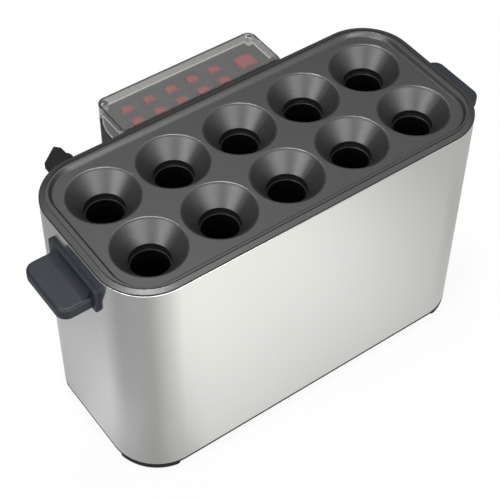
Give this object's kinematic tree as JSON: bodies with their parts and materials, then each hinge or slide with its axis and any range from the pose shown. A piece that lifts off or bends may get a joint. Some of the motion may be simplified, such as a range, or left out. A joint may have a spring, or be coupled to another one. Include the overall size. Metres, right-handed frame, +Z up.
{
  "type": "egg sausage maker",
  "caption": "Upright steel casing with a dark cast tray of funnels over deep cooking tubes, two side handles, and a rear box with red rocker switches under a clear hinged cover.",
  "frame": {"origin": "on the table, under the middle of the whole machine's bounding box, handles and rear box included", "axes": "+X along the casing towards the right handle, +Y to the control box at the back, +Z up"},
  "size_m": [0.387, 0.1932, 0.2141],
  "materials": {
    "satin_steel": "satin, fine grain",
    "coated_cast": "cast, dark grey non-stick coating",
    "painted_base": "black paint",
    "foot_rubber": "matte",
    "handle_plastic": "moulded, soft sheen",
    "box_plastic": "moulded, soft sheen",
    "panel_plastic": "moulded",
    "switch_plastic": "glossy",
    "rocker_red": "glossy, translucent red",
    "clear_plastic": "clear, polished",
    "plated_steel": "zinc plated",
    "heater_steel": "plain",
    "loom_cover": "sleeved",
    "bush_rubber": "matte",
    "terminal_ceramic": "plain",
    "cutout_case": "plain"
  },
  "bodies": {
    "machine": {"body_shell": "satin_steel", "top_tray": "coated_cast", "cook_tube_1": "coated_cast", "cook_tube_2": "coated_cast", "cook_tube_3": "coated_cast", "cook_tube_4": "coated_cast", "cook_tube_5": "coated_cast", "cook_tube_6": "coated_cast", "cook_tube_7": "coated_cast", "cook_tube_8": "coated_cast", "cook_tube_9": "coated_cast", "cook_tube_10": "coated_cast", "base_plate": "painted_base", "foot_back_right": "foot_rubber", "foot_back_left": "foot_rubber", "foot_front_left": "foot_rubber", "foot_front_right": "foot_rubber", "handle_left": "handle_plastic", "handle_right": "handle_plastic", "control_box": "box_plastic", "cord_outlet": "box_plastic", "switch_panel": "panel_plastic", "channel_switch_bodies": "switch_plastic", "main_switch_body": "switch_plastic", "cover_hinge_pins": "plated_steel", "handle_screws": "plated_steel", "base_screws": "plated_steel", "box_screws": "plated_steel", "panel_screws": "plated_steel", "tie_rods": "plated_steel", "earth_stud": "plated_steel", "tube_rack": "plated_steel", "heater_band_1": "heater_steel", "heater_band_2": "heater_steel", "heater_band_3": "heater_steel", "heater_band_4": "heater_steel", "heater_band_5": "heater_steel", "heater_band_6": "heater_steel", "heater_band_7": "heater_steel", "heater_band_8": "heater_steel", "heater_band_9": "heater_steel", "heater_band_10": "heater_steel", "wiring_loom": "loom_cover", "duct_bush": "bush_rubber", "cord_gland": "bush_rubber", "terminal_block": "terminal_ceramic", "thermal_cutout": "cutout_case"},
    "cover": {"clear_cover": "clear_plastic"},
    "main_rocker_body": {"main_rocker": "rocker_red"},
    "rocker_1_body": {"channel_rocker_1": "rocker_red"},
    "rocker_2_body": {"channel_rocker_2": "rocker_red"},
    "rocker_3_body": {"channel_rocker_3": "rocker_red"},
    "rocker_4_body": {"channel_rocker_4": "rocker_red"},
    "rocker_5_body": {"channel_rocker_5": "rocker_red"},
    "rocker_6_body": {"channel_rocker_6": "rocker_red"},
    "rocker_7_body": {"channel_rocker_7": "rocker_red"},
    "rocker_8_body": {"channel_rocker_8": "rocker_red"},
    "rocker_9_body": {"channel_rocker_9": "rocker_red"},
    "rocker_10_body": {"channel_rocker_10": "rocker_red"}
  },
  "joints": [
    {"name": "cover_hinge", "type": "hinge", "parent": "machine", "child": "cover", "pos_m": [0, 0.0596, 0.2059], "axis": [1, 0, 0], "range_deg": [0, 95]},
    {"name": "channel_rocker_1_pivot", "type": "hinge", "parent": "machine", "child": "rocker_1_body", "pos_m": [-0.0546, 0.0638, 0.2009], "axis": [0, -1, 0], "range_deg": [0, 22]},
    {"name": "channel_rocker_2_pivot", "type": "hinge", "parent": "machine", "child": "rocker_2_body", "pos_m": [-0.0345, 0.0638, 0.2009], "axis": [0, -1, 0], "range_deg": [0, 22]},
    {"name": "channel_rocker_3_pivot", "type": "hinge", "parent": "machine", "child": "rocker_3_body", "pos_m": [-0.0144, 0.0638, 0.2009], "axis": [0, -1, 0], "range_deg": [0, 22]},
    {"name": "channel_rocker_4_pivot", "type": "hinge", "parent": "machine", "child": "rocker_4_body", "pos_m": [0.0057, 0.0638, 0.2009], "axis": [0, -1, 0], "range_deg": [0, 22]},
    {"name": "channel_rocker_5_pivot", "type": "hinge", "parent": "machine", "child": "rocker_5_body", "pos_m": [0.0258, 0.0638, 0.2009], "axis": [0, -1, 0], "range_deg": [0, 22]},
    {"name": "channel_rocker_6_pivot", "type": "hinge", "parent": "machine", "child": "rocker_6_body", "pos_m": [-0.0546, 0.0792, 0.2009], "axis": [0, -1, 0], "range_deg": [0, 22]},
    {"name": "channel_rocker_7_pivot", "type": "hinge", "parent": "machine", "child": "rocker_7_body", "pos_m": [-0.0345, 0.0792, 0.2009], "axis": [0, -1, 0], "range_deg": [0, 22]},
    {"name": "channel_rocker_8_pivot", "type": "hinge", "parent": "machine", "child": "rocker_8_body", "pos_m": [-0.0144, 0.0792, 0.2009], "axis": [0, -1, 0], "range_deg": [0, 22]},
    {"name": "channel_rocker_9_pivot", "type": "hinge", "parent": "machine", "child": "rocker_9_body", "pos_m": [0.0057, 0.0792, 0.2009], "axis": [0, -1, 0], "range_deg": [0, 22]},
    {"name": "channel_rocker_10_pivot", "type": "hinge", "parent": "machine", "child": "rocker_10_body", "pos_m": [0.0258, 0.0792, 0.2009], "axis": [0, -1, 0], "range_deg": [0, 22]},
    {"name": "main_rocker_pivot", "type": "hinge", "parent": "machine", "child": "main_rocker_body", "pos_m": [0.0517, 0.0715, 0.2003], "axis": [0, -1, 0], "range_deg": [0, 22]}
  ]
}
